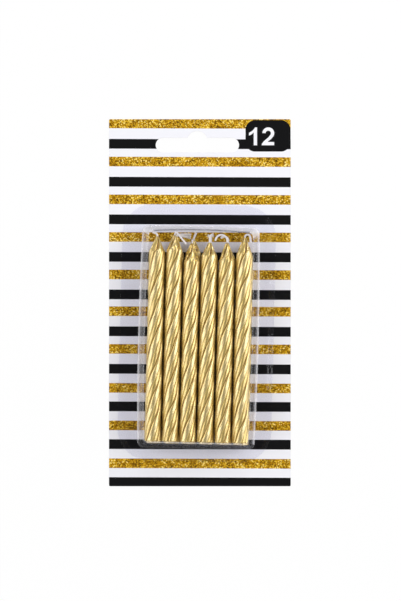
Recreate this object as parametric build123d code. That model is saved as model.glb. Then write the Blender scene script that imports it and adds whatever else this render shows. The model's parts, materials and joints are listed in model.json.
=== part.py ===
from build123d import *
import os
from math import cos, radians, sin, sqrt, tan

# A carded blister pack of twisted gold birthday candles, lying on its back, in millimetres.
# X runs across the card, Y up the card to the hang slot, and Z out of the printed face.
# The origin is the middle of the card's back face.

# Backing card
card_w = 69.5
card_h = 140.4
card_t = 0.45
card_corner_r = 0.5

# Hang slot, a long slot with a round crown over its middle
slot_w = 31.9
slot_h = 5.6
slot_x = -0.95
slot_drop = 9.9
crown_d = 7.9
crown_rise = 1.4

# Candles, in two rows one behind the other
candle_d = 6.25
candle_l = 77.7
candle_gap = 0.36
groove_depth = 0.46
crease_depth = 0.24
ridge_drop = 0.14
broad_arc = 54.0
ridge_starts = 4
twist_length = 44.0
tip_d = 1.45
tip_waist = 0.42
tip_waist_at = 0.76
turn_step = 37.0

# What each candle is short of the longest one, then its cone length, left to right
front_trim = (0.5, 0.0, 2.8, 2.4, 2.4, 0.2)
back_trim = (1.0, 0.5, 0.5, 2.2, 2.2, 0.8)
front_cone = (5.8, 5.6, 7.1, 5.0, 7.0, 6.2)
back_cone = (6.0, 5.5, 4.7, 5.8, 4.9, 5.6)

# Wicks, left to right: free height over the wax, bend radius, length past the bend,
# then the angle of the bend and the side that it falls to, 0 to the right and 90 to the front
wick_d = 0.8
wick_fit = 0.02
front_rise = (0.3, 0.5, 0.6, 1.9, 0.8, 0.2)
front_bend_r = (1.0, 0.6, 0.8, 1.0, 2.3, 1.05)
front_tail = (1.2, 5.4, 0.3, 0.8, 0.8, 2.3)
front_bend = (70, 138, 60, 75, 160, 172)
front_side = (180, 20, -100, -10, 165, 15)
back_rise = (0.4, 1.2, 0.4, 2.6, 2.0, 0.5)
back_bend_r = (0.8, 0.9, 2.5, 1.0, 1.6, 0.8)
back_tail = (0.4, 4.6, 2.0, 1.0, 0.5, 0.4)
back_bend = (80, 95, 22, 60, 130, 80)
back_side = (170, 0, 10, 180, 170, 170)

# Clear blister: a flat flange round one deep bubble
film_t = 0.35
skew = 1.4
flange_x = -1.17
flange_foot = 9.5
flange_side = 6.65
flange_end = 6.75
flange_r = 12.2
bubble_x = 0.65
bubble_y = -1.6
side_draft = 8.0
top_draft = 5.0
foot_draft = 9.5
side_bow = 0.7
top_bow = 0.3
bubble_corner_r = 1.9
bubble_edge_r = 0.9
bubble_root_r = 0.5

# Clearances round the candles
card_gap = 0.3
front_gap = 0.5
side_gap = 0.67
front_shift = 0.1
back_shift = 0.6
seat_gap = 0.41
head_room = 2.75
slide_gap = 0.3

# Sizes that follow from those above
candle_r = candle_d / 2
pitch = candle_d + candle_gap
row_count = len(front_trim)
row_w = (row_count - 1) * pitch + candle_d
back_z = card_gap + candle_r
front_z = back_z + pitch
inner_depth = front_z + candle_r + front_gap
bubble_depth = inner_depth + film_t
edge_in_r = bubble_edge_r - film_t
edge_bite = edge_in_r - sqrt(edge_in_r**2 - max(edge_in_r - front_gap, 0) ** 2)


def side_in(z):
    """How far a side wall's inner face has closed in at height z over the card."""
    return z * tan(radians(side_draft)) + film_t / cos(radians(side_draft))


def top_in(z):
    """How far the upper end wall's inner face has closed in at height z over the card."""
    return z * tan(radians(top_draft)) + film_t / cos(radians(top_draft))


def foot_in(z):
    """How far the lower end wall's inner face has closed in at height z over the card."""
    return z * tan(radians(foot_draft)) + film_t / cos(radians(foot_draft))


front_seat = foot_in(front_z + candle_r) + edge_bite + seat_gap
back_seat = foot_in(back_z + candle_r) + seat_gap
bubble_w = row_w + 2 * (side_gap + side_in(front_z) + side_bow)
bubble_h = front_seat + candle_l + head_room + top_in(front_z + wick_d / 2)
flange_w = bubble_w + 2 * flange_side
flange_h = bubble_h + 2 * flange_end
flange_y = flange_foot + flange_h / 2 - card_h / 2
slot_y = card_h / 2 - slot_drop

# The blister and its candles sit a little crooked on the card
tray = Pos(flange_x, flange_y, card_t) * Rot(0, 0, -skew)
bubble = tray * Pos(bubble_x, bubble_y, 0)


def build_card():
    """Flat board with the hang slot punched through it."""
    board = RectangleRounded(card_w, card_h, card_corner_r)
    slot = SlotOverall(slot_w, slot_h) + Pos(0, crown_rise) * Circle(crown_d / 2)
    return extrude(board - Pos(slot_x, slot_y) * slot, card_t)


def bubble_outline(z, inward):
    """Bubble wall seen from the front at height z, moved in by a film thickness."""
    half_w = bubble_w / 2 - z * tan(radians(side_draft)) - inward / cos(radians(side_draft))
    top = bubble_h / 2 - z * tan(radians(top_draft)) - inward / cos(radians(top_draft))
    foot = z * tan(radians(foot_draft)) + inward / cos(radians(foot_draft)) - bubble_h / 2
    middle = (top + foot) / 2
    x = half_w - side_bow
    upper = top - top_bow
    sides = Curve() + [
        Line((-x, foot), (x, foot)),
        ThreePointArc((x, foot), (half_w, middle), (x, upper)),
        ThreePointArc((x, upper), (0, top), (-x, upper)),
        ThreePointArc((-x, upper), (-half_w, middle), (-x, foot)),
    ]
    face = make_face(sides)
    return Pos(0, 0, z) * fillet(face.vertices(), bubble_corner_r - inward)


def bubble_block(depth, inward, edge_r):
    """Solid bubble, drafted on all sides and rounded round its front face."""
    block = loft([bubble_outline(0, inward), bubble_outline(depth, inward)], ruled=True)
    return fillet(block.faces().sort_by(Axis.Z)[-1].edges(), edge_r)


def build_blister():
    """Flange sealed to the card with the hollow bubble standing on it."""
    flange = extrude(RectangleRounded(flange_w, flange_h, flange_r), film_t)
    hump = Pos(bubble_x, bubble_y) * bubble_block(bubble_depth, 0, bubble_edge_r)
    shell = flange + hump
    rim = shell.faces().filter_by_position(Axis.Z, film_t / 2, film_t * 1.5).sort_by(SortBy.AREA)[-1]
    shell = fillet(rim.inner_wires()[0].edges(), bubble_root_r)
    shell -= Pos(bubble_x, bubble_y) * bubble_block(inner_depth, film_t, edge_in_r)
    return tray * shell


def candle_section(scale, turn):
    """Cross-section of the twist: broad lobes, each with a narrow ridge past a shallow crease."""
    groove_r = candle_r - groove_depth
    crease_r = candle_r - crease_depth
    ridge_r = candle_r - ridge_drop
    step = 360 / ridge_starts

    def point(radius, angle):
        return (scale * radius * cos(radians(angle + turn)), scale * radius * sin(radians(angle + turn)))

    edges = []
    for start in range(ridge_starts):
        left = start * step
        middle = left + broad_arc
        right = left + step
        edges.append(ThreePointArc(
            point(groove_r, left), point(candle_r, (left + middle) / 2), point(crease_r, middle)))
        edges.append(ThreePointArc(
            point(crease_r, middle), point(ridge_r, (middle + right) / 2), point(groove_r, right)))
    return make_face(Curve() + edges)


def build_wax(length, cone, turn):
    """Twisted wax rod with a twisted cone on top and the wick's bore through it."""
    shaft = length - cone
    degrees = 360 / twist_length
    rod = Solid.extrude_linear_with_rotation(
        candle_section(1, turn).face(), (0, 0, 0), (0, 0, shaft), shaft * degrees)
    waist = shaft + tip_waist_at * cone
    tip = loft(
        [
            Pos(0, 0, shaft) * candle_section(1, turn + shaft * degrees),
            Pos(0, 0, waist) * candle_section(tip_waist, turn + waist * degrees),
            Pos(0, 0, length) * candle_section(tip_d / candle_d, turn + length * degrees),
        ],
        ruled=True,
    )
    bore = Pos(0, 0, length / 2) * Cylinder(wick_d / 2 + wick_fit, length + 2)
    return Rot(-90, 0, 0) * (rod + tip - bore)


def build_wick(length, rise, bend_r, tail, bend, side):
    """Cotton wick through the whole candle, its free end bent over."""
    stem = Line((0, 0), (0, length + rise))
    arc = JernArc((0, length + rise), (0, 1), bend_r, -bend)
    end = Line(arc @ 1, arc @ 1 + tail * (arc % 1))
    start = Plane(origin=(0, 0, 0), z_dir=(0, 1, 0))
    wick = sweep(start * Circle(wick_d / 2), path=Curve() + [stem, arc, end])
    return Rot(0, -side, 0) * wick


def wick_top(rise, bend_r, tail, bend):
    """Height of a wick's highest point over the wax."""
    up = min(bend, 90)
    return rise + bend_r * sin(radians(up)) + tail * cos(radians(up)) + wick_d / 2


def candle_table():
    """Place, length, cone, turn, wick shape and free slide of every candle, front row first."""
    front_wicks = zip(front_rise, front_bend_r, front_tail, front_bend, front_side)
    back_wicks = zip(back_rise, back_bend_r, back_tail, back_bend, back_side)
    rows = (
        (front_z, front_seat, front_shift, zip(front_trim, front_cone, front_wicks)),
        (back_z, back_seat, back_shift, zip(back_trim, back_cone, back_wicks)),
    )
    table = []
    for z, seat, shift, candles in rows:
        roof = bubble_h - top_bow - top_in(z + wick_d / 2)
        for column, (trim, cone, wick) in enumerate(candles):
            number = len(table) + 1
            x = (column - (row_count - 1) / 2) * pitch + shift
            length = candle_l - trim
            table.append({
                "name": f"candle_{number:02d}",
                "place": bubble * Pos(x, seat - bubble_h / 2, z),
                "length": length,
                "cone": cone,
                "turn": turn_step * number,
                "wick": wick,
                "slide": roof - slide_gap - seat - length - wick_top(*wick[:4]),
            })
    return table


def main():
    os.makedirs("parts", exist_ok=True)
    export_step(build_card(), "parts/backing_card.step")
    export_step(build_blister(), "parts/blister.step")
    for row in candle_table():
        wax = row["place"] * build_wax(row["length"], row["cone"], row["turn"])
        wick = row["place"] * build_wick(row["length"], *row["wick"])
        export_step(wax, f"parts/{row['name']}_wax.step")
        export_step(wick, f"parts/{row['name']}_wick.step")


if __name__ == "__main__":
    main()
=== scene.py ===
import json
import math
import bpy
import numpy as np
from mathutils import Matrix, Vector


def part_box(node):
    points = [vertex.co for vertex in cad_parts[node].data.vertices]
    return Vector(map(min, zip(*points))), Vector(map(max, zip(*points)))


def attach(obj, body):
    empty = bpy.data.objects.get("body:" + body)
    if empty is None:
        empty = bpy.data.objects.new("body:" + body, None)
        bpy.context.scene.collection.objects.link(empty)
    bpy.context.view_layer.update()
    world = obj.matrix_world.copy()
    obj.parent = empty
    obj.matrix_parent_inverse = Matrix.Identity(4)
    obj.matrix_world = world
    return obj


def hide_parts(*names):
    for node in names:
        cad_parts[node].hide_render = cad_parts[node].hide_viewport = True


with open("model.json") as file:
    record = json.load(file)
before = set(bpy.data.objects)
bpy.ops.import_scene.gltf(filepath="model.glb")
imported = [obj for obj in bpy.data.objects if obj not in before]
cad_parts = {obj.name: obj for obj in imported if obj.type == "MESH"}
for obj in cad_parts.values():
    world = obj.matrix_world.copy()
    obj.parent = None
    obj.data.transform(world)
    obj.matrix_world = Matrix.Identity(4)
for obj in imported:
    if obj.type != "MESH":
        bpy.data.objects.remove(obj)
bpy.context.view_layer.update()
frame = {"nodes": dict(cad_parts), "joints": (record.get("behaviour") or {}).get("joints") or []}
mm = 0.001
front = np.array((0.0, 0.0, 1.0))  # out of the card's printed face
scene = bpy.context.scene
scene.view_settings.view_transform = "Standard"
print("frame loaded:", len(frame["nodes"]), "CAD nodes")


# Small helpers shared by every piece

def inkColour(hexText):
    # sRGB hex to linear red, green and blue with full alpha
    share = np.array([int(hexText[i:i + 2], 16) for i in (1, 3, 5)]) / 255.0
    line = np.where(share <= 0.04045, share / 12.92, ((share + 0.055) / 1.055) ** 2.4)
    return (*(float(v) for v in line), 1.0)


def addNode(tree, kind, settings=None, inputs=None):
    # One node with its settings and its inputs, each a value or a socket to link from
    node = tree.nodes.new(kind)
    for key, value in (settings or {}).items():
        setattr(node, key, value)
    for key, value in (inputs or {}).items():
        if isinstance(value, bpy.types.NodeSocket):
            tree.links.new(value, node.inputs[key])
        else:
            node.inputs[key].default_value = value
    return node


def setStops(ramp, stops):
    # stops are (place, colour) pairs from left to right, a colour being a hex text or a grey level
    while len(ramp.elements) < len(stops):
        ramp.elements.new(0.5)
    for element, (place, colour) in zip(ramp.elements, stops):
        element.position = place
        element.color = inkColour(colour) if isinstance(colour, str) else (colour, colour, colour, 1.0)


def startMaterial(name):
    material = bpy.data.materials.new(name)
    material.use_nodes = True
    material.node_tree.nodes.clear()
    return material, material.node_tree


def gridFaces(rows, columns):
    # Quads between neighbouring rings of a grid that closes round its columns
    row = np.arange(rows - 1)[:, None] * columns
    here = np.arange(columns)[None, :]
    after = (here + 1) % columns
    return np.stack([row + here, row + after, row + columns + after, row + columns + here], -1).reshape(-1, 4)


def fanFaces(ring, centre, flip):
    # Triangles from a ring of vertex numbers to one centre vertex
    after = np.roll(ring, -1)
    middle = np.full_like(ring, centre)
    return np.stack([after, ring, middle] if flip else [ring, after, middle], -1)


def makePiece(name, points, quads, fans, material, body, nodes):
    # Smooth mesh of rings and end fans that takes the place of the given CAD nodes
    mesh = bpy.data.meshes.new(name)
    faces = quads.tolist() + [row for fan in fans for row in fan.tolist()]
    mesh.from_pydata(points.tolist(), [], faces)
    mesh.polygons.foreach_set("use_smooth", np.ones(len(faces), bool))
    mesh.materials.append(material)
    mesh.update()
    piece = bpy.data.objects.new(name, mesh)
    scene.collection.objects.link(piece)
    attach(piece, body)
    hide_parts(*nodes)
    return piece


def addMarks(mesh, name, values):
    # One number for each point of the mesh, which the material reads under that name
    layer = mesh.attributes.new(name, "FLOAT", "POINT")
    layer.data.foreach_set("value", values.astype(np.float32))


def nodePoints(name):
    # Vertices of a CAD node, in metres
    mesh = frame["nodes"][name].data
    points = np.zeros(len(mesh.vertices) * 3)
    mesh.vertices.foreach_get("co", points)
    return points.reshape(-1, 3)


def halfway(values):
    # Middle between the least and the greatest
    return (values.min() + values.max()) / 2


# Camera straight above the pack, as the photograph was taken

cameraStyle = {
    "aim": (0.25, 0.84, 0.45),     # point in the middle of the picture, mm
    "far": 800.0,                  # camera height over that point, mm
    "tall": 229.9,                 # picture height at the card, mm
    "sensor": 36.0,                # sensor height, mm
    "near": 10.0,                  # nearest distance that is drawn, mm
}

cameraData = bpy.data.cameras.new("camera")
cameraData.sensor_fit = "VERTICAL"
cameraData.sensor_height = cameraStyle["sensor"]
cameraData.lens = cameraStyle["sensor"] * cameraStyle["far"] / cameraStyle["tall"]
cameraData.clip_start = cameraStyle["near"] * mm
camera = bpy.data.objects.new("camera", cameraData)
camera.location = np.array(cameraStyle["aim"]) * mm + np.array((0, 0, cameraStyle["far"])) * mm
scene.collection.objects.link(camera)
scene.camera = camera
print("camera set")


# Printed card: the CAD board with its stripes, glitter and count badge printed on the front

cardStyle = {
    # middle of each stripe below the card's top edge, mm
    "golds": (1.73, 16.31, 30.78, 45.15, 59.52, 73.56, 87.97, 102.89, 117.24, 131.73),
    "blacks": (9.52, 24.03, 38.43, 52.78, 67.14, 81.24, 95.60, 109.97, 124.41, 138.93),
    "gold": 3.68,                  # stripe widths, mm
    "black": 3.74,
    "tilt": 0.2,                   # stripes fall to the right by this, degrees
    "flake": 0.36,                 # glitter flake, mm, as coarse as it needs to show
    "patch": 4.5,                  # lighter and darker patches of glitter, mm
    "patchSwing": 0.6,             # how far they move a flake's tone, from darkest to lightest
    "badgeLow": (17.46, 57.80),    # badge corners, mm
    "badgeHigh": (34.70, 69.85),
    "badgeRound": 3.7,
    "fibre": 0.7,                  # paper fibres of the bare board, mm
    "white": "#F0F0F6",
    "ink": "#0C0C0E",
    "board": "#D6D1C7",
}


def stripeMask(tree, down, middles, wide):
    # One on the stripes and nothing between them, from the distance below the card's top edge
    total = 0.0
    for middle in middles:
        near = addNode(tree, "ShaderNodeMath", {"operation": "COMPARE"}, {
            0: down, 1: middle * mm, 2: wide / 2 * mm})
        added = addNode(tree, "ShaderNodeMath", {"operation": "ADD"}, {0: near.outputs[0], 1: total})
        total = added.outputs[0]
    return total


def glitterPrint(tree, spot):
    # One random tone for each flake, moved by slow patches a few millimetres wide
    style = cardStyle
    flakes = addNode(tree, "ShaderNodeTexVoronoi", {"voronoi_dimensions": "2D"}, {
        "Vector": spot, "Scale": 1 / (style["flake"] * mm), "Randomness": 1.0})
    tone = addNode(tree, "ShaderNodeSeparateColor", inputs={0: flakes.outputs["Color"]})
    patch = addNode(tree, "ShaderNodeTexNoise", {"noise_dimensions": "2D"}, {
        "Vector": spot, "Scale": 1 / (style["patch"] * mm), "Detail": 3.0})
    moved = addNode(tree, "ShaderNodeMath", {"operation": "MULTIPLY_ADD"}, {
        0: patch.outputs["Fac"], 1: style["patchSwing"], 2: -style["patchSwing"] / 2})
    sparkle = addNode(tree, "ShaderNodeMath", {"operation": "ADD", "use_clamp": True}, {
        0: tone.outputs[0], 1: moved.outputs[0]})
    glitter = addNode(tree, "ShaderNodeValToRGB", inputs={0: sparkle.outputs[0]})
    setStops(glitter.color_ramp, [
        (0.0, "#503400"), (0.22, "#8E6402"), (0.5, "#B6840C"),
        (0.75, "#D6A61E"), (0.9, "#F0CC48"), (1.0, "#FFE88C")])
    return glitter.outputs[0]


def badgeMask(tree, spot):
    # One on a rounded box: where the distance past its inner box is under the corner radius, the inner
    # box being too deep for the height to count
    style = cardStyle
    low, high = np.array(style["badgeLow"]) * mm, np.array(style["badgeHigh"]) * mm
    middle = (low + high) / 2
    inner = (high - low) / 2 - style["badgeRound"] * mm
    shifted = addNode(tree, "ShaderNodeVectorMath", {"operation": "SUBTRACT"}, {
        0: spot, 1: (*middle.tolist(), 0.0)})
    folded = addNode(tree, "ShaderNodeVectorMath", {"operation": "ABSOLUTE"}, {0: shifted.outputs[0]})
    past = addNode(tree, "ShaderNodeVectorMath", {"operation": "SUBTRACT"}, {
        0: folded.outputs[0], 1: (*inner.tolist(), 1.0)})
    outside = addNode(tree, "ShaderNodeVectorMath", {"operation": "MAXIMUM"}, {
        0: past.outputs[0], 1: (0.0, 0.0, 0.0)})
    reach = addNode(tree, "ShaderNodeVectorMath", {"operation": "LENGTH"}, {0: outside.outputs[0]})
    badge = addNode(tree, "ShaderNodeMath", {"operation": "LESS_THAN"}, {
        0: reach.outputs["Value"], 1: style["badgeRound"] * mm})
    return badge.outputs[0]


def printedBoard():
    # Coated white-lined board, offset printed: even white, soft black and a speckled glitter print
    style = cardStyle
    material, tree = startMaterial("printedBoard")
    spot = addNode(tree, "ShaderNodeTexCoord")
    where = addNode(tree, "ShaderNodeSeparateXYZ", inputs={0: spot.outputs["Object"]})
    level = addNode(tree, "ShaderNodeMath", {"operation": "MULTIPLY_ADD"}, {
        0: where.outputs["X"], 1: math.tan(math.radians(style["tilt"])), 2: where.outputs["Y"]})
    down = addNode(tree, "ShaderNodeMath", {"operation": "SUBTRACT"}, {
        0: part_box("backing_card")[1][1], 1: level.outputs[0]})
    isGold = stripeMask(tree, down.outputs[0], style["golds"], style["gold"])
    isBlack = stripeMask(tree, down.outputs[0], style["blacks"], style["black"])
    isInk = addNode(tree, "ShaderNodeMath", {"operation": "MAXIMUM"}, {
        0: isBlack, 1: badgeMask(tree, spot.outputs["Object"])})
    goldOnWhite = addNode(tree, "ShaderNodeMix", {"data_type": "RGBA"}, {
        "Factor": isGold, 6: inkColour(style["white"]), 7: glitterPrint(tree, spot.outputs["Object"])})
    printed = addNode(tree, "ShaderNodeMix", {"data_type": "RGBA"}, {
        "Factor": isInk.outputs[0], 6: goldOnWhite.outputs[2], 7: inkColour(style["ink"])})

    # bare board on the back and the cut edges, with paper fibres
    fibre = addNode(tree, "ShaderNodeTexNoise", inputs={
        "Vector": spot.outputs["Object"], "Scale": 1 / (style["fibre"] * mm), "Detail": 6.0,
        "Roughness": 0.7})
    bare = addNode(tree, "ShaderNodeValToRGB", inputs={0: fibre.outputs["Fac"]})
    setStops(bare.color_ramp, [(0.3, "#C6C0B4"), (0.5, style["board"]), (0.7, "#E4E0D8")])
    facing = addNode(tree, "ShaderNodeSeparateXYZ", inputs={0: spot.outputs["Normal"]})
    isFront = addNode(tree, "ShaderNodeMath", {"operation": "GREATER_THAN"}, {
        0: facing.outputs["Z"], 1: 0.5})
    colour = addNode(tree, "ShaderNodeMix", {"data_type": "RGBA"}, {
        "Factor": isFront.outputs[0], 6: bare.outputs[0], 7: printed.outputs[2]})
    dents = addNode(tree, "ShaderNodeBump", inputs={
        "Strength": 0.12, "Distance": 0.03 * mm, "Height": fibre.outputs["Fac"]})
    shader = addNode(tree, "ShaderNodeBsdfPrincipled", inputs={
        "Base Color": colour.outputs[2], "Roughness": 0.48, "Specular IOR Level": 0.12,
        "Normal": dents.outputs[0]})
    addNode(tree, "ShaderNodeOutputMaterial", inputs={"Surface": shader.outputs[0]})
    return material


card = frame["nodes"]["backing_card"]
card.data.materials.clear()
card.data.materials.append(printedBoard())
print("card printed")


# Count numerals, white ink on the badge

numeralStyle = {
    "thick": 0.02,                 # ink over the card, mm
    "foot": 60.22,                 # base line, mm
    "tall": 6.85,                  # figure height, mm
    "one": (18.80, 3.10),          # left side and width of the first figure, mm
    "two": (23.66, 4.84),          # and of the second
    "mottle": 0.8,                 # unevenness of the ink, mm
}


def whiteInk():
    # Opaque white offset ink: flat white with the faint mottle of coated board
    material, tree = startMaterial("whiteInk")
    spot = addNode(tree, "ShaderNodeTexCoord")
    mottle = addNode(tree, "ShaderNodeTexNoise", inputs={
        "Vector": spot.outputs["Object"], "Scale": 1 / (numeralStyle["mottle"] * mm), "Detail": 3.0})
    tint = addNode(tree, "ShaderNodeValToRGB", inputs={0: mottle.outputs["Fac"]})
    setStops(tint.color_ramp, [(0.3, "#EDEDF2"), (0.7, "#F6F6FA")])
    shader = addNode(tree, "ShaderNodeBsdfPrincipled", inputs={
        "Base Color": tint.outputs[0], "Roughness": 0.45, "Specular IOR Level": 0.35})
    addNode(tree, "ShaderNodeOutputMaterial", inputs={"Surface": shader.outputs[0]})
    return material


def figureOutlines():
    # Plain bold figures in a unit box: a stem with a flag, and a bowl of two arcs on a slant and a foot
    one = np.array(((0.583, 0), (1, 0), (1, 1), (0.74, 1), (0.58, 0.89), (0.36, 0.79), (0, 0.70),
                    (0, 0.54), (0.30, 0.60), (0.583, 0.72)))
    bowl = np.array((0.520, 0.672))
    over = np.radians(np.linspace(178, -32, 28))
    way = np.stack([np.cos(over), np.sin(over)], -1)
    outer = bowl + np.array((0.472, 0.328)) * way
    inner = bowl + np.array((0.205, 0.142)) * way[::-1]
    slant = np.array(((0.76, 0.36), (0.46, 0.185), (0.985, 0.185), (0.985, 0), (0, 0), (0.02, 0.08),
                      (0.13, 0.20), (0.57, 0.47)))
    return one, np.vstack([outer, slant, inner])


def makeNumerals():
    # Each figure's outline twice, the thickness of the ink apart, with a wall between
    style = numeralStyle
    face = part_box("backing_card")[1][2]
    points, faces = [], []
    for outline, (left, wide) in zip(figureOutlines(), (style["one"], style["two"])):
        flat = outline[::-1] * np.array((wide, style["tall"])) + np.array((left, style["foot"]))
        start, count = len(points), len(flat)
        for level in (0.0, style["thick"]):
            points += np.column_stack([flat * mm, np.full(count, face + level * mm)]).tolist()
        here = np.arange(count)
        after = (here + 1) % count
        faces.append((start + here).tolist())
        faces.append((start + count + here[::-1]).tolist())
        faces += (start + np.stack([here + count, after + count, after, here], -1)).tolist()
    mesh = bpy.data.meshes.new("count_numerals")
    mesh.from_pydata(points, [], faces)
    mesh.materials.append(whiteInk())
    mesh.update()
    piece = bpy.data.objects.new("count_numerals", mesh)
    scene.collection.objects.link(piece)
    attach(piece, "card")


makeNumerals()
print("numerals laid")


# Candles: twisted wax with its cone, then the braided wick

candleStyle = {
    "radius": 3.125,               # over the broad lobes, mm
    "groove": 0.50,                # groove depth, mm
    "grooveSwing": 0.28,           # share of that depth that comes and goes
    "grooveSpan": (11, 26),        # shortest and longest wave of it, mm
    "flute": 2.4,                  # extra depth at the tip of the cone, in grooves
    "ridgeDrop": 0.14,             # narrow ridges are lower than the lobes by this, mm
    "dip": 0.50,                   # rise from the deep groove to the shallow one, as a share of the depth
    "lobes": 4,
    "broadArc": 54.0,              # degrees taken by a broad lobe
    "turnLength": 44.0,            # height of one full turn, mm
    "turnStep": 37.0,              # turn from one candle to the next, degrees
    "turnSwing": 0.05,             # unevenness of the twist, radians
    "turnSpans": (31.0, 17.0, 9.0),   # its waves, mm
    "turnShare": (0.3, 1),         # weakest and strongest of them
    "creases": 4,                  # fine creases on each broad lobe
    "creaseDeep": 0.055,           # depth of the deepest crease, mm
    "creaseShare": (0.2, 1),       # shallowest and deepest, as shares of that
    "creaseWide": 0.13,            # width of a crease as a share of half a lobe
    "creaseReach": 0.7,            # how far from the lobe's middle it may lie, as such a share
    "creaseSwing": 0.16,           # how far it wanders, as such a share
    "creaseSpan": (14, 30),        # shortest and longest wave of its path, mm
    "creaseFade": (5, 12),         # and of its depth, mm
    "phase": (0, 6.28),            # random start of every wave, radians
    "seed": 100,                   # random seed, to which the candle's number is added
    "footRound": ((0.0, 0.93), (0.04, 0.97), (0.14, 0.99), (0.30, 1.0)),   # height mm and radius share
    "tipRound": ((0.02, 0.8), (0.2, 0.45)),   # the same over the tip
    "shaftFrom": 0.5,              # first row over the rounded foot, mm
    "taper": ((0, 1), (0.05, 0.985), (0.4, 0.72), (0.76, 0.41), (1, 0.232)),   # cone radius by height
    "cones": (5.8, 5.6, 7.1, 5.0, 7.0, 6.2, 6.0, 5.5, 4.7, 5.8, 4.9, 5.6),   # cone lengths, mm
    "fold": (3.6, 0.85),           # power of the wall's curve on the shaft and on the cone, 1 being sharp
    "foldOver": 0.25,              # share of the cone in which it changes
    "arcPoints": (30, 14),         # columns on a broad lobe and on a ridge
    "rows": (150, 40),             # rows on the shaft and on the cone
    "streaks": 48.0,               # lacquer streaks round the candle, each 0.4 mm wide
    "streakLong": 3.5,             # their length, mm
    "rough": (0.36, 0.24),         # roughness of the dull and of the bright streaks
    "crumple": (0.1, 1.0),         # how crumpled the lacquer is on the shaft and on the cone
    "crumpleOver": 0.2,            # share of the cone in which it changes
    "crumpleWide": 1.5,            # crumples, mm, as coarse as they need to show
    "crumpleDeep": 9.0,            # their depth against the streaks'
    "crumplePolish": 0.14,         # how much less rough the crumpled lacquer is
    "dent": 0.06,                  # bump of the streaks, mm
}


def goldLacquer():
    # Paraffin under a thin metallic gold lacquer: satin reflections drawn out along the twist
    style = candleStyle
    material, tree = startMaterial("goldLacquer")
    lay = addNode(tree, "ShaderNodeUVMap", {"uv_map": "twist"})
    shadedRelief = addNode(tree, "ShaderNodeAttribute", {"attribute_name": "shadedRelief"})
    # streaks along the twist, the u of the map being turns and its v metres
    streakLay = addNode(tree, "ShaderNodeMapping", inputs={
        "Vector": lay.outputs[0], "Scale": (style["streaks"], 1 / (style["streakLong"] * mm), 1.0)})
    streak = addNode(tree, "ShaderNodeTexNoise", {"noise_dimensions": "2D"}, {
        "Vector": streakLay.outputs[0], "Scale": 1.0, "Detail": 4.0, "Roughness": 0.6})
    # painted shade and highlight: the lacquer is painted darker and browner down into the grooves and paler
    # on the lobe crests
    tone = addNode(tree, "ShaderNodeValToRGB", inputs={0: shadedRelief.outputs["Fac"]})
    setStops(tone.color_ramp, [(0.0, "#7E5000"), (0.22, "#BE9226"), (0.55, "#E4C45A"), (1.0, "#F8E29A")])
    worn = addNode(tree, "ShaderNodeValToRGB", inputs={0: streak.outputs["Fac"]})
    setStops(worn.color_ramp, [(0.3, "#D2C8B4"), (0.5, "#F4F1EA"), (0.7, "#FFFFFF")])
    colour = addNode(tree, "ShaderNodeMix", {"data_type": "RGBA", "blend_type": "MULTIPLY"}, {
        "Factor": 1.0, 6: tone.outputs[0], 7: worn.outputs[0]})
    rough = addNode(tree, "ShaderNodeMapRange", inputs={
        "Value": streak.outputs["Fac"], "From Min": 0.3, "From Max": 0.7,
        "To Min": style["rough"][0], "To Max": style["rough"][1]})
    # smooth crumples and a brighter polish, strongest on the cone
    spot = addNode(tree, "ShaderNodeTexCoord")
    crumple = addNode(tree, "ShaderNodeTexNoise", inputs={
        "Vector": spot.outputs["Object"], "Scale": 1 / (style["crumpleWide"] * mm), "Detail": 0.0})
    share = addNode(tree, "ShaderNodeAttribute", {"attribute_name": "crumple"})
    folds = addNode(tree, "ShaderNodeMath", {"operation": "MULTIPLY"}, {
        0: crumple.outputs["Fac"], 1: share.outputs["Fac"]})
    height = addNode(tree, "ShaderNodeMath", {"operation": "MULTIPLY_ADD"}, {
        0: folds.outputs[0], 1: style["crumpleDeep"], 2: streak.outputs["Fac"]})
    polish = addNode(tree, "ShaderNodeMath", {"operation": "MULTIPLY_ADD"}, {
        0: share.outputs["Fac"], 1: -style["crumplePolish"], 2: rough.outputs[0]})
    dents = addNode(tree, "ShaderNodeBump", inputs={
        "Strength": 0.6, "Distance": style["dent"] * mm, "Height": height.outputs[0]})
    shader = addNode(tree, "ShaderNodeBsdfPrincipled", inputs={
        "Base Color": colour.outputs[2], "Metallic": 0.6, "Roughness": polish.outputs[0],
        "Coat Weight": 1.0, "Coat IOR": 1.75, "Coat Roughness": polish.outputs[0],
        "Normal": dents.outputs[0]})
    addNode(tree, "ShaderNodeOutputMaterial", inputs={"Surface": shader.outputs[0]})
    return material


def wave(height, span, start):
    # Sine that repeats once in each span of height
    return np.sin(2 * np.pi * height / span + start)


def waxColumns():
    # Angles round the candle in degrees: a cosine ease over each broad lobe and each narrow ridge, so
    # that the columns lie closer together at the grooves
    style = candleStyle
    quarter = 360.0 / style["lobes"]
    broad, narrow = ((1 - np.cos(np.pi * np.arange(count) / count)) / 2 for count in style["arcPoints"])
    one = np.concatenate([broad * style["broadArc"],
                          style["broadArc"] + narrow * (quarter - style["broadArc"])])
    return (np.arange(style["lobes"])[:, None] * quarter + one[None, :]).ravel()


def waxRows(length, cone):
    # Heights in mm, how far up the cone each is, and its share of the full radius: a rounded foot, an
    # even shaft, the tapering cone and a rounded tip
    style = candleStyle
    shaft = length - cone
    shaftRows, coneRows = style["rows"]
    footHeights, footShares = zip(*style["footRound"])
    tipHeights, tipShares = zip(*style["tipRound"])
    height = np.concatenate([
        footHeights,
        np.linspace(style["shaftFrom"], shaft, shaftRows),
        shaft + cone * np.linspace(0, 1, coneRows + 1)[1:],
        length + np.array(tipHeights)])
    rim = np.ones(len(height))
    rim[:len(footShares)] = footShares
    rim[-len(tipShares):] = tipShares
    up = np.clip((height - shaft) / cone, 0, 1)
    return height, up, np.interp(up, *zip(*style["taper"])) * rim


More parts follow.
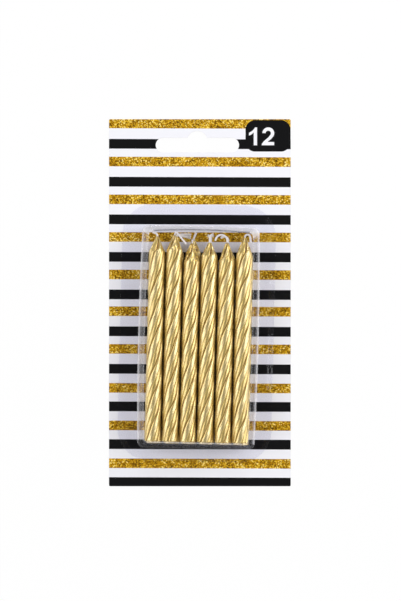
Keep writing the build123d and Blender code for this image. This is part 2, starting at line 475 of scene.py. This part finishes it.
def waxWall(draw, height, up, angle):
    # How high each point stands between groove and lobe, and the radius that this gives. The wall climbs
    # from a deep groove over a broad lobe, dips to a shallow groove, climbs a narrow ridge and falls to
    # the next deep groove, each side a power curve, less bell-shaped creases that wander over the broad
    # lobes.
    style = candleStyle
    lobes, phase = style["lobes"], style["phase"]
    quarter = 360.0 / lobes
    within = angle % quarter
    onBroad = within < style["broadArc"]
    ridgeArc = quarter - style["broadArc"]
    place = np.where(onBroad, within / style["broadArc"], (within - style["broadArc"]) / ridgeArc) * 2 - 1
    power = np.interp(up, (0, style["foldOver"]), style["fold"])[:, None]

    def rise(foot, peak):
        return peak - (peak - foot) * np.abs(place) ** power

    dip, ridge = style["dip"], 1 - style["ridgeDrop"] / style["groove"]
    crown = np.where(onBroad, np.where(place < 0, rise(0, 1), rise(dip, 1)),
                     np.where(place < 0, rise(dip, ridge), rise(0, ridge)))
    lobe = (angle // quarter).astype(int)
    span = draw.uniform(*style["grooveSpan"], lobes)[lobe][None, :]
    start = draw.uniform(*phase, lobes)[lobe][None, :]
    deep = style["groove"] * (
        1 + style["grooveSwing"] * wave(height[:, None], span, start) + style["flute"] * up[:, None])
    creases = np.zeros((len(height), len(angle)))
    reach = style["creaseReach"]
    for _ in range(style["creases"]):
        spot = draw.uniform(-reach, reach, lobes)[lobe][None, :] + (style["creaseSwing"] * wave(
            height, draw.uniform(*style["creaseSpan"]), draw.uniform(*phase)))[:, None]
        cut = style["creaseDeep"] * draw.uniform(*style["creaseShare"], lobes)[lobe][None, :] * (
            0.5 + 0.5 * wave(height, draw.uniform(*style["creaseFade"]), draw.uniform(*phase)))[:, None]
        creases += cut * np.exp(-((place[None, :] - spot) / style["creaseWide"]) ** 2)
    creases *= np.where(onBroad, crown, 0)
    return crown, style["radius"] - deep * (1 - crown) - creases


def mapTwist(mesh, angle, height):
    # Map of turns round the twist against height in metres, laid corner by corner so that its seam stays
    # closed, with nothing on the triangles of the two ends
    turn = np.append(angle, 360.0) / 360.0
    corner = np.stack([turn[:-1], turn[1:], turn[1:], turn[:-1]], -1)[None, :, :]
    level = np.stack([height[:-1], height[:-1], height[1:], height[1:]], -1)[:, None, :] * mm
    sides = np.stack(np.broadcast_arrays(corner, level), -1).reshape(-1, 2)
    ends = np.zeros((2 * 3 * len(angle), 2))
    layer = mesh.uv_layers.new(name="twist")
    layer.data.foreach_set("uv", np.vstack([sides, ends]).astype(np.float32).ravel())


def makeWax(number, base, along, across, length):
    # Rings of the wall's radius times the taper. Columns follow the twist, so each one keeps its place
    # on a lobe while it turns once in every turn length.
    style = candleStyle
    draw = np.random.default_rng(style["seed"] + number)
    angle = waxColumns()
    height, up, share = waxRows(length, style["cones"][number - 1])
    uneven = sum(draw.uniform(*style["turnShare"]) * wave(height, span, draw.uniform(*style["phase"]))
                 for span in style["turnSpans"])
    crown, radius = waxWall(draw, height, up, angle)
    radius = radius * share[:, None]
    swing = np.radians(angle + style["turnStep"] * number)[None, :] + (
        2 * np.pi * height / style["turnLength"] + style["turnSwing"] * uneven * (1 - up))[:, None]
    points = (base + mm * (height[:, None, None] * along
              + (radius * np.cos(swing))[:, :, None] * across
              - (radius * np.sin(swing))[:, :, None] * front)).reshape(-1, 3)
    rows, columns = radius.shape
    foot, peak = len(points), len(points) + 1
    points = np.vstack([points, base, base + mm * height[-1] * along])
    quads = gridFaces(rows, columns)
    ring = np.arange(columns)
    fans = [fanFaces(ring, foot, True), fanFaces(ring + (rows - 1) * columns, peak, False)]
    name = f"candle_{number:02d}"
    piece = makePiece(f"{name}_twist", points, quads, fans, goldStock, name, [f"{name}_wax"])
    crumple = np.repeat(np.interp(up, (0, style["crumpleOver"]), style["crumple"]), columns)
    # the lobe's height, from which the lacquer paints shade into the grooves and a highlight on the crests
    for label, values in (("shadedRelief", crown), ("crumple", crumple)):
        addMarks(piece.data, label, np.append(values, (0.5, 0.5)))
    mapTwist(piece.data, angle, height)


goldStock = goldLacquer()

wickStyle = {
    "strand": 0.18,                # strand radius, mm
    "sway": (0.21, 0.10),          # how far the strands swing across and through the braid, mm
    "braid": 2.2,                  # length of one braid repeat, mm
    "strands": 3,                  # strands of a wick that hasn't frayed
    "frayStrands": 2,              # how many more there are for each unit of fray
    "cutShare": 0.45,              # share of a strand's radius that is left at the cut end
    "cutLength": 0.5,              # length in which it gains a whole radius, mm
    "fuzz": 0.25,                  # fuzz of the yarn, mm
    "ring": 7,                     # points round a strand
    "step": 0.22,                  # spacing along the wick, mm
    # free height, bend radius, length past the bend, bend angle and the side it falls to
    "shape": ((0.3, 1.0, 1.2, 70, 180), (0.5, 0.6, 5.4, 138, 20), (0.6, 0.8, 0.3, 60, -100),
              (1.9, 1.0, 0.8, 75, -10), (0.8, 2.3, 0.8, 160, 165), (0.2, 1.05, 2.3, 172, 15),
              (0.4, 0.8, 0.4, 80, 170), (1.2, 0.9, 4.6, 95, 0), (0.4, 2.5, 2.0, 22, 10),
              (2.6, 1.0, 1.0, 60, 180), (2.0, 1.6, 0.5, 130, 170), (0.5, 0.8, 0.4, 80, 170)),
    "fray": (0.3, 0, 0, 1.8, 0.1, 0.3, 0, 3.8, 0.4, 1.0, 0.4, 0),   # how far the cut ends have opened
}


def cottonYarn():
    # Bleached cotton, plaited: matt and fuzzy white, with painted shade making it a little darker and warmer
    # between the fibres
    material, tree = startMaterial("cottonYarn")
    spot = addNode(tree, "ShaderNodeTexCoord")
    fuzz = addNode(tree, "ShaderNodeTexNoise", inputs={
        "Vector": spot.outputs["Object"], "Scale": 1 / (wickStyle["fuzz"] * mm), "Detail": 4.0,
        "Roughness": 0.7})
    tone = addNode(tree, "ShaderNodeValToRGB", inputs={0: fuzz.outputs["Fac"]})
    setStops(tone.color_ramp, [(0.3, "#EAE2DA"), (0.5, "#FAF6F2"), (0.7, "#FFFEFC")])
    dents = addNode(tree, "ShaderNodeBump", inputs={
        "Strength": 0.5, "Distance": 0.05 * mm, "Height": fuzz.outputs["Fac"]})
    shader = addNode(tree, "ShaderNodeBsdfPrincipled", inputs={
        "Base Color": tone.outputs[0], "Roughness": 0.9, "Specular IOR Level": 0.2,
        "Sheen Weight": 0.3, "Normal": dents.outputs[0]})
    addNode(tree, "ShaderNodeOutputMaterial", inputs={"Surface": shader.outputs[0]})
    return material


def makeWick(number, base, along, across, length):
    # Centre line: straight up the candle, one arc to its side, then straight. Each strand swings
    # across it as a sine and through it as a sine of twice the angle, evenly apart along the repeat, and
    # carries a round profile that narrows at the cut end. A frayed wick has opened into more strands.
    style = wickStyle
    rise, bendRadius, tail, bend, side = style["shape"][number - 1]
    fray, columns = style["fray"][number - 1], style["ring"]
    bend, side = math.radians(bend), math.radians(side)
    lean = across * math.cos(side) + front * math.sin(side)
    third = np.cross(along, lean)
    straight = length + rise
    whole = straight + bendRadius * bend + tail
    run = np.linspace(0, whole, int(whole / style["step"]) + 1)
    turn = np.clip((run - straight) / bendRadius, 0, bend)
    out = np.clip(run - straight - bendRadius * bend, 0, None)
    upward = np.minimum(run, straight) + bendRadius * np.sin(turn) + out * math.cos(bend)
    sideways = bendRadius * (1 - np.cos(turn)) + out * math.sin(bend)
    centre = upward[:, None] * along + sideways[:, None] * lean
    normal = np.cos(turn)[:, None] * lean - np.sin(turn)[:, None] * along
    around = np.linspace(0, 2 * np.pi, columns, endpoint=False)
    slim = style["strand"] * np.clip((whole - run) / style["cutLength"] + style["cutShare"], 0, 1)
    ring = (np.cos(around)[None, :, None] * normal[:, None, :]
            + np.sin(around)[None, :, None] * third[None, None, :]) * slim[:, None, None]
    loose = 1 + fray * np.clip((run - straight) / (whole - straight), 0, 1)
    points, quads, fans, start = [], [], [], 0
    strands = style["strands"] + round(style["frayStrands"] * fray)
    for strand in range(strands):
        phase = 2 * np.pi * (run / style["braid"] + strand / strands)
        swing = (style["sway"][0] * loose * np.sin(phase))[:, None] * normal + (
            style["sway"][1] * loose * np.sin(2 * phase))[:, None] * third
        tube = (base + mm * ((centre + swing)[:, None, :] + ring)).reshape(-1, 3)
        ends = base + mm * (centre + swing)[[0, -1]]
        last = start + len(tube)
        quads.append(gridFaces(len(run), columns) + start)
        fans.append(fanFaces(start + np.arange(columns), last, True))
        fans.append(fanFaces(start + (len(run) - 1) * columns + np.arange(columns), last + 1, False))
        points += [tube, ends]
        start = last + 2
    name = f"candle_{number:02d}"
    makePiece(f"{name}_braid", np.vstack(points), np.vstack(quads), fans, cottonStock, name,
              [f"{name}_wick"])


def candleStand(name):
    # Middle of the foot in metres, the ways along and across the candle and the wax's length in mm, all
    # read from the CAD: the slide gives the way along it, and the wick's lowest ring its foot
    slide = next(joint for joint in frame["joints"] if joint["type"] == "slide" and joint["child"] == name)
    along = np.array(slide["axis"], float)
    along = along / np.linalg.norm(along)
    across = np.cross(along, front)
    wickCloud = nodePoints(f"{name}_wick")
    heights = wickCloud @ along
    footSlack = 0.01 * mm
    footRing = wickCloud[heights < heights.min() + footSlack]
    base = heights.min() * along + halfway(footRing @ across) * across + halfway(footRing[:, 2]) * front
    length = ((nodePoints(f"{name}_wax") @ along).max() - heights.min()) / mm
    return base, along, across, length


cottonStock = cottonYarn()
for number in range(1, len(candleStyle["cones"]) + 1):
    stand = candleStand(f"candle_{number:02d}")
    makeWax(number, *stand)
    makeWick(number, *stand)
print("candles twisted and wicks plaited")


# Clear blister: flange and bubble in one sheet of formed film

filmStyle = {
    "thick": 0.33,                 # sheet, mm
    "lift": 0.02,                  # air left under the flange, mm
    "centre": (-1.17, -11.608),    # flange centre on the card, mm
    "skew": 1.4,                   # degrees clockwise
    "flange": (58.868, 98.184),
    "flangeRound": 12.2,
    "rimDrop": 0.02,               # how far the flange's edge turns down, mm
    "bubble": (45.568, 84.684),    # at the card
    "shift": (0.65, -1.6),         # bubble centre from the flange centre
    "deep": 14.01,
    "dish": 0.10,                  # how far the front sinks in its middle, mm
    "draft": (8.0, 5.0, 9.5),      # lean of the sides, the top and the foot, degrees
    "bow": (0.7, 0.3),             # how far the corners fall back from the middle of a side and of the top
    "frontBow": 0.8,               # and from the middle of the top at the front edge
    "cornerRound": 1.9,
    "leastRound": 0.3,             # smallest corner of any ring, mm
    "edgeRound": 0.9,
    "rootRound": 0.5,
    "rootGap": 0.08,               # flange left flat outside the root's bend, mm
    # whitening of each wall, of the bend at its foot and of its front edge, partly the sheet's own stretch
    # whitening and partly painted highlight (bright root lines, corners, the foot's front edge), then the
    # painted shade of the top front edge
    "milk": {
        "left": (0.065, 0.32, 0.05, 0.0), "right": (0.01, 0.32, 0.03, 0.0), "top": (0.12, 0.25, 0.0, 0.6),
        "bottom": (0.02, 0.03, 0.3, 0.0), "topCorner": (0.30, 0.40, 0.2, 0.0),
        "bottomCorner": (0.02, 0.04, 0.12, 0.0)},
    "ripple": 6.0,                 # slow waves in the sheet, mm
    "mirror": (0.02, 0.08),        # mirror share of one face head on, and what grazing adds to it
    "points": (56, 32, 14),        # points on a side, an end and a corner
    "flangeRows": (0.0, 0.01, 0.02, 0.5, 1.0),   # rings of the flange, from its edge to the root
    "rows": (8, 16, 10, 14),       # rings on the root, the wall, the front edge and the front
}


def clearSheet():
    # Vacuum-formed clear sheet: mirror gloss, nearly colourless, whitened where the walls were stretched and
    # by painted highlights along the root bends, corners and the foot's front edge, with a painted shade
    # along the top front edge
    style = filmStyle
    material, tree = startMaterial("clearSheet")
    whiteningAndHighlight = addNode(tree, "ShaderNodeAttribute", {"attribute_name": "whiteningAndHighlight"})
    spot = addNode(tree, "ShaderNodeTexCoord")
    ripple = addNode(tree, "ShaderNodeTexNoise", inputs={
        "Vector": spot.outputs["Object"], "Scale": 1 / (style["ripple"] * mm), "Detail": 2.0})
    dents = addNode(tree, "ShaderNodeBump", inputs={
        "Strength": 0.12, "Distance": 0.15 * mm, "Height": ripple.outputs["Fac"]})
    gloss = addNode(tree, "ShaderNodeBsdfGlossy", inputs={
        "Color": inkColour("#FFFFFF"), "Roughness": 0.08, "Normal": dents.outputs[0]})
    # painted shade: the sheet is tinted grey along the top front edge, standing in for the dark line that its
    # bend shows
    edgeShade = addNode(tree, "ShaderNodeAttribute", {"attribute_name": "edgeShade"})
    tint = addNode(tree, "ShaderNodeMix", {"data_type": "RGBA"}, {
        "Factor": edgeShade.outputs["Fac"], 6: inkColour("#FCFCFE"), 7: inkColour("#707078")})
    clear = addNode(tree, "ShaderNodeBsdfTransparent", inputs={"Color": tint.outputs[2]})
    milk = addNode(tree, "ShaderNodeBsdfDiffuse", inputs={"Color": inkColour("#F4F4F8")})
    # whitening of the sheet: partly its own stretch whitening, partly painted highlight at the root bends,
    # corners and the foot's front edge
    hazy = addNode(tree, "ShaderNodeMixShader", inputs={
        0: whiteningAndHighlight.outputs["Fac"], 1: clear.outputs[0], 2: milk.outputs[0]})
    # mirror share of one face of the sheet, alike from both sides, rising as the fifth power of the slope
    slope = addNode(tree, "ShaderNodeLayerWeight", inputs={"Blend": 0.5, "Normal": dents.outputs[0]})
    graze = addNode(tree, "ShaderNodeMath", {"operation": "POWER"}, {0: slope.outputs["Facing"], 1: 5.0})
    mirror = addNode(tree, "ShaderNodeMath", {"operation": "MULTIPLY_ADD"}, {
        0: graze.outputs[0], 1: style["mirror"][1], 2: style["mirror"][0]})
    shader = addNode(tree, "ShaderNodeMixShader", inputs={
        0: mirror.outputs[0], 1: hazy.outputs[0], 2: gloss.outputs[0]})
    addNode(tree, "ShaderNodeOutputMaterial", inputs={"Surface": shader.outputs[0]})
    return material


def outlineRing(halfWide, halfTall, cornerRound, bow):
    # Rounded rectangle walked corner by corner, then its sides and top bent out: a point moves in
    # by the bow times the square of its place along that side
    sidePoints, endPoints, cornerPoints = filmStyle["points"]
    fold = np.linspace(0, np.pi / 2, cornerPoints, endpoint=False)
    centres = np.array(((1, 1), (-1, 1), (-1, -1), (1, -1))) * np.array(
        (halfWide - cornerRound, halfTall - cornerRound))
    outward = np.array(((0, 1), (-1, 0), (0, -1), (1, 0)))   # way that the side after each corner faces
    pieces = []
    for quarter, centre in enumerate(centres):
        turn = fold + quarter * np.pi / 2
        pieces.append(centre + cornerRound * np.stack([np.cos(turn), np.sin(turn)], -1))
        run = np.linspace(0, 1, (endPoints, sidePoints)[quarter % 2], endpoint=False)[:, None]
        start = centre + cornerRound * outward[quarter]
        end = centres[(quarter + 1) % 4] + cornerRound * outward[quarter]
        pieces.append(start + (end - start) * run)
    ring = np.vstack(pieces)
    bent = ring.copy()
    bent[:, 0] -= np.sign(ring[:, 0]) * bow[0] * (ring[:, 1] / halfTall) ** 2
    bent[:, 1] -= np.where(ring[:, 1] > 0, bow[1], 0) * (ring[:, 0] / halfWide) ** 2
    return bent


def blisterRings():
    # Rings from the flange's edge in: flat flange, root arc, leaning wall, edge arc and flat front, with
    # the height of each in mm and its marks for wall, root and edge. Each ring's half width and its
    # reach to the top and the foot follow the lean of those walls, and both arcs touch the flats beside
    # them. The root's mark swells over its arc and dies away up the wall, and the edge's is a hump.
    style = filmStyle
    lean = np.radians(style["draft"])
    halfFlange, halfBubble = (np.array(style[name])[[0, 1, 1]] / 2 for name in ("flange", "bubble"))
    filmTop = style["thick"] + style["lift"]
    shift = np.array(style["shift"])
    rootRows, wallRows, edgeRows, frontRows = style["rows"]
    rings, levels, marks = [], [], []

    def addRing(half, cornerRound, z, bow, onWall=0.0, onRoot=0.0, onEdge=0.0, moved=shift):
        drift = np.array((0.0, (half[1] - half[2]) / 2))
        cornerRound = max(cornerRound, style["leastRound"])
        rings.append(outlineRing(half[0], (half[1] + half[2]) / 2, cornerRound, bow) + moved + drift)
        levels.append(z)
        marks.append((onWall, onRoot, onEdge))

    foot = halfBubble - filmTop * np.tan(lean)
    rootOut = style["rootRound"] * np.tan((np.pi / 2 - lean) / 2)
    inner, innerRound = foot + rootOut + style["rootGap"], style["cornerRound"] + rootOut.mean()
    for share in style["flangeRows"]:
        addRing(halfFlange * (1 - share) + inner * share,
                style["flangeRound"] * (1 - share) + innerRound * share,
                filmTop - (style["rimDrop"] if share == 0 else 0),
                np.array(style["bow"]) * share, moved=shift * share)
    for share in np.linspace(0, 1, rootRows):
        turn = share * (np.pi / 2 - lean)
        out = rootOut - style["rootRound"] * np.sin(turn)
        z = filmTop + style["rootRound"] * float(np.mean(1 - np.cos(turn)))
        addRing(foot + out, style["cornerRound"] + out.mean(), z, style["bow"], share,
                math.sin(math.pi * share * 5 / 6))
    wallFrom = levels[-1]
    wallTo = style["deep"] - style["edgeRound"] * (1 - np.sin(lean).mean())
    for share in np.linspace(0, 1, wallRows)[1:]:
        z = wallFrom + (wallTo - wallFrom) * share
        bow = (style["bow"][0], style["bow"][1] * (1 - share) + style["frontBow"] * share)
        addRing(halfBubble - z * np.tan(lean), style["cornerRound"], z, bow, 1.0, 0.5 * (1 - share) ** 3)
    corner = halfBubble - style["deep"] * np.tan(lean)
    edgeIn = style["edgeRound"] * np.tan((np.pi / 2 - lean) / 2)
    for share in np.linspace(0, 1, edgeRows)[1:]:
        turn = (np.pi / 2 - lean) * (1 - share)
        inset = edgeIn - style["edgeRound"] * np.sin(turn)
        z = style["deep"] - style["edgeRound"] * float(np.mean(1 - np.cos(turn)))
        addRing(corner - inset, style["cornerRound"] - inset.mean(), z, bow, 1 - share,
                onEdge=math.sin(math.pi * share ** 1.5) ** 2)
    lastRing = rings[-1] - shift
    for share in np.linspace(1, 0, frontRows)[1:-1]:
        rings.append(lastRing * share + shift)
        levels.append(style["deep"] - style["dish"] * (1 - share ** 2))
        marks.append((0.0, 0.0, 0.0))
    return np.stack(rings), np.array(levels), np.array(marks)


def makeBlister():
    # The rings laid on the card at their skew, closed by one point in the middle of the front
    style = filmStyle
    plan, levels, marks = blisterRings()
    rows, columns = plan.shape[:2]
    level = np.broadcast_to(levels[:, None], (rows, columns))
    turn = -math.radians(style["skew"])
    spin = np.array(((math.cos(turn), -math.sin(turn)), (math.sin(turn), math.cos(turn))))
    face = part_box("backing_card")[1][2]

    def place(flat, z):
        spot = flat @ spin.T + np.array(style["centre"])
        return np.concatenate([spot * mm, (face + z * mm)[..., None]], -1)

    points = np.vstack([place(plan, level).reshape(-1, 3),
                        place(np.array([style["shift"]]), np.array([style["deep"] - style["dish"]]))])
    quads = gridFaces(rows, columns)
    fans = [fanFaces(np.arange(columns) + (rows - 1) * columns, rows * columns, False)]
    piece = makePiece("blister_film", points, quads, fans, clearSheet(), "blister", ["blister"])
    # whitening, partly painted highlight, and the painted shade of the top front edge: the marks of each ring
    # times the amounts of the wall it crosses
    sidePoints, endPoints, cornerPoints = style["points"]
    order = (("topCorner", cornerPoints), ("top", endPoints), ("topCorner", cornerPoints),
             ("left", sidePoints), ("bottomCorner", cornerPoints), ("bottom", endPoints),
             ("bottomCorner", cornerPoints), ("right", sidePoints))
    amounts = np.vstack([np.tile(style["milk"][name], (count, 1)) for name, count in order])
    addMarks(piece.data, "whiteningAndHighlight", np.append(marks @ amounts[:, :3].T, 0.0))
    addMarks(piece.data, "edgeShade", np.append(np.outer(marks[:, 2], amounts[:, 3]), 0.0))
    wall = piece.modifiers.new("sheet", "SOLIDIFY")
    wall.thickness = style["thick"] * mm
    wall.offset = -1.0
    wall.use_even_offset = True


makeBlister()
print("blister formed")


# Floor, sky and lamps

stageStyle = {
    "floor": 3.0,                  # floor width, m
    "floorDrop": 0.2,              # floor below the card's back, mm
    "floorGlow": 0.95,             # share of the floor that glows where it is seen
    "skyLight": 0.62,              # strength of the sky
    # light by height, 1 being overhead, where a dark patch keeps the flat film clear
    "sky": ((0.0, 0.66), (0.5, 0.90), (0.8, 1.05), (0.87, 0.9), (0.93, 0.5), (0.965, 0.18), (0.985, 0.04)),
}

lampStyle = (
    # name, place m, aim m, wide m, tall m, watts
    ("rightBox", (0.66, 0.16, 0.37), (0.0, -0.01, 0.01), 0.62, 0.80, 4.7),
    ("leftBox", (-0.66, 0.02, 0.40), (0.0, -0.01, 0.01), 0.70, 0.80, 3.3),
    ("topStrip", (0.06, 0.62, 0.44), (0.0, 0.02, 0.01), 0.20, 0.08, 0.45),
)


def whiteSweep():
    # Matt white paper of a studio sweep: it glows white to the camera and in reflections, and keeps a
    # little of the pack's shadow
    material, tree = startMaterial("whiteSweep")
    ray = addNode(tree, "ShaderNodeLightPath")
    seen = addNode(tree, "ShaderNodeMath", {"operation": "MAXIMUM"}, {
        0: ray.outputs["Is Camera Ray"], 1: ray.outputs["Is Glossy Ray"]})
    through = addNode(tree, "ShaderNodeMath", {"operation": "MAXIMUM"}, {
        0: seen.outputs[0], 1: ray.outputs["Is Transmission Ray"]})
    share = addNode(tree, "ShaderNodeMath", {"operation": "MULTIPLY"}, {
        0: through.outputs[0], 1: stageStyle["floorGlow"]})
    matt = addNode(tree, "ShaderNodeBsdfDiffuse", inputs={"Color": inkColour("#F7F7F7")})
    glow = addNode(tree, "ShaderNodeEmission", inputs={"Color": inkColour("#FFFFFF"), "Strength": 1.0})
    shader = addNode(tree, "ShaderNodeMixShader", inputs={
        0: share.outputs[0], 1: matt.outputs[0], 2: glow.outputs[0]})
    addNode(tree, "ShaderNodeOutputMaterial", inputs={"Surface": shader.outputs[0]})
    return material


def makeFloor():
    # Flat square just under the card
    half = stageStyle["floor"] / 2
    corners = np.array(((-half, -half, 0), (half, -half, 0), (half, half, 0), (-half, half, 0)))
    mesh = bpy.data.meshes.new("floor")
    mesh.from_pydata((corners - stageStyle["floorDrop"] * mm * front).tolist(), [], [(0, 1, 2, 3)])
    mesh.materials.append(whiteSweep())
    floor = bpy.data.objects.new("floor", mesh)
    scene.collection.objects.link(floor)


def makeSky():
    # Grey by height for the light, and plain white to the camera
    world = bpy.data.worlds.new("studio")
    scene.world = world
    world.use_nodes = True
    tree = world.node_tree
    tree.nodes.clear()
    spot = addNode(tree, "ShaderNodeTexCoord")
    where = addNode(tree, "ShaderNodeSeparateXYZ", inputs={0: spot.outputs["Generated"]})
    fade = addNode(tree, "ShaderNodeValToRGB", inputs={0: where.outputs["Z"]})
    setStops(fade.color_ramp, stageStyle["sky"])
    soft = addNode(tree, "ShaderNodeBackground", inputs={
        "Color": fade.outputs[0], "Strength": stageStyle["skyLight"]})
    white = addNode(tree, "ShaderNodeBackground", inputs={"Color": inkColour("#FFFFFF"), "Strength": 1.0})
    ray = addNode(tree, "ShaderNodeLightPath")
    shader = addNode(tree, "ShaderNodeMixShader", inputs={
        0: ray.outputs["Is Camera Ray"], 1: soft.outputs[0], 2: white.outputs[0]})
    addNode(tree, "ShaderNodeOutputWorld", inputs={"Surface": shader.outputs[0]})


def makeLamps():
    # Soft boxes, each turned to its aim
    for name, spot, aim, wide, tall, watts in lampStyle:
        data = bpy.data.lights.new(name, "AREA")
        data.shape = "RECTANGLE"
        data.size, data.size_y = wide, tall
        data.energy = watts
        lamp = bpy.data.objects.new(name, data)
        lamp.location = spot
        lamp.rotation_euler = (Vector(aim) - Vector(spot)).to_track_quat("-Z", "Y").to_euler()
        scene.collection.objects.link(lamp)


makeFloor()
makeSky()
makeLamps()
print("stage lit")

bpy.context.view_layer.update()
